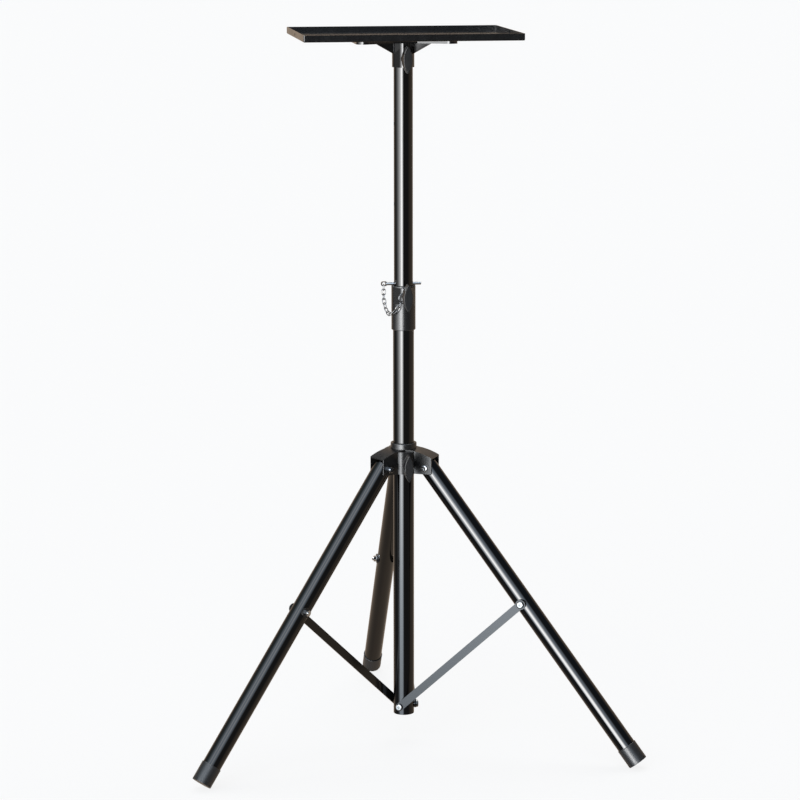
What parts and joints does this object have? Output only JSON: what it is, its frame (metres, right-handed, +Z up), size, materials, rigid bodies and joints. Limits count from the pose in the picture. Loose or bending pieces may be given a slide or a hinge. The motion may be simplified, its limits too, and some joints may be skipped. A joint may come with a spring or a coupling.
{
  "type": "portable projector stand",
  "caption": "Folding tripod stand with a sliding hub, telescoping column, locking pin on a chain and a shallow rectangular tray for a projector.",
  "frame": {"origin": "on the column's axis at floor level, between the feet", "axes": "+Z up along the column, +X along the tray's long side, -Y the front with the clamp knobs, +Y along the rear leg"},
  "size_m": [0.8042, 0.7015, 1.2913],
  "materials": {
    "black_paint": "gloss black coating on steel tube and bar",
    "tray_paint": "satin black coating on sheet steel",
    "hub_paint": "satin black coating",
    "black_plastic": "satin moulded plastic",
    "rubber": "matt moulded rubber",
    "zinc_plate": "bright zinc plating"
  },
  "bodies": {
    "column": {"lower_tube": "black_paint", "bottom_plug": "black_plastic", "collar": "black_plastic", "locking_pin": "zinc_plate", "pin_chain": "zinc_plate", "chain_ring": "zinc_plate", "column_bolt_right": "zinc_plate", "column_bolt_left": "zinc_plate", "column_bolt_rear": "zinc_plate"},
    "hub": {"hub_body": "hub_paint", "hub_bush": "black_plastic", "hub_bolt_right": "zinc_plate", "hub_bolt_left": "zinc_plate", "hub_bolt_rear": "zinc_plate"},
    "leg_right": {"leg_tube_right": "black_paint", "foot_cap_right": "rubber", "leg_washer_right": "black_plastic", "leg_nut_right": "zinc_plate"},
    "leg_left": {"leg_tube_left": "black_paint", "foot_cap_left": "rubber", "leg_washer_left": "black_plastic", "leg_nut_left": "zinc_plate"},
    "leg_rear": {"leg_tube_rear": "black_paint", "foot_cap_rear": "rubber", "leg_washer_rear": "black_plastic", "leg_nut_rear": "zinc_plate"},
    "brace_right": {"brace_bar_right": "black_paint", "brace_bolt_right": "zinc_plate"},
    "brace_left": {"brace_bar_left": "black_paint", "brace_bolt_left": "zinc_plate"},
    "brace_rear": {"brace_bar_rear": "black_paint", "brace_bolt_rear": "zinc_plate"},
    "upper_tube": {"upper_tube": "black_paint"},
    "tray": {"tray_pan": "tray_paint", "tray_screws": "zinc_plate", "support_plate": "tray_paint", "tray_socket": "tray_paint", "gusset_right": "tray_paint", "gusset_left": "tray_paint", "gusset_rear": "tray_paint"},
    "hub_knob": {"hub_knob": "black_plastic"},
    "collar_knob": {"collar_knob": "black_plastic"},
    "tray_knob": {"tray_knob": "black_plastic"}
  },
  "joints": [
    {"name": "hub_slide", "type": "slide", "parent": "column", "child": "hub", "axis": [0, 0, 1], "range_m": [0, 0.16091]},
    {"name": "leg_right_fold", "type": "hinge", "parent": "hub", "child": "leg_right", "pos_m": [0.04157, -0.024, 0.51629], "axis": [0.5, 0.866, 0], "range_deg": [0, 38.32]},
    {"name": "leg_left_fold", "type": "hinge", "parent": "hub", "child": "leg_left", "pos_m": [-0.04157, -0.024, 0.51629], "axis": [0.5, -0.866, 0], "range_deg": [0, 38.32]},
    {"name": "leg_rear_fold", "type": "hinge", "parent": "hub", "child": "leg_rear", "pos_m": [0, 0.048, 0.51629], "axis": [-1, 0, 0], "range_deg": [0, 38.32]},
    {"name": "brace_right_fold", "type": "hinge", "parent": "column", "child": "brace_right", "pos_m": [0, 0, 0.0674], "axis": [-0.5, -0.866, 0], "range_deg": [0, 38.3]},
    {"name": "brace_left_fold", "type": "hinge", "parent": "column", "child": "brace_left", "pos_m": [0, 0, 0.0674], "axis": [-0.5, 0.866, 0], "range_deg": [0, 38.3]},
    {"name": "brace_rear_fold", "type": "hinge", "parent": "column", "child": "brace_rear", "pos_m": [0, 0, 0.0674], "axis": [1, 0, 0], "range_deg": [0, 38.3]},
    {"name": "height_slide", "type": "slide", "parent": "column", "child": "upper_tube", "axis": [0, 0, 1], "range_m": [-0.284, 0.142]},
    {"name": "tray_swivel", "type": "hinge", "parent": "upper_tube", "child": "tray", "pos_m": [0, 0, 1.25], "axis": [0, 0, 1], "continuous": true},
    {"name": "hub_knob_turn", "type": "hinge", "parent": "hub", "child": "hub_knob", "pos_m": [0, -0.05, 0.522], "axis": [0, -1, 0], "continuous": true},
    {"name": "collar_knob_turn", "type": "hinge", "parent": "column", "child": "collar_knob", "pos_m": [0, -0.05, 0.827], "axis": [0, -1, 0], "continuous": true},
    {"name": "tray_knob_turn", "type": "hinge", "parent": "tray", "child": "tray_knob", "pos_m": [0, -0.05, 1.2432], "axis": [0, -1, 0], "continuous": true}
  ],
  "couplings": [
    {"joint": "leg_right_fold", "follows": "hub_slide", "rad_per_m": 4.1544},
    {"joint": "leg_left_fold", "follows": "hub_slide", "rad_per_m": 4.1544},
    {"joint": "leg_rear_fold", "follows": "hub_slide", "rad_per_m": 4.1544},
    {"joint": "brace_right_fold", "follows": "hub_slide", "rad_per_m": 4.152},
    {"joint": "brace_left_fold", "follows": "hub_slide", "rad_per_m": 4.152},
    {"joint": "brace_rear_fold", "follows": "hub_slide", "rad_per_m": 4.152}
  ]
}
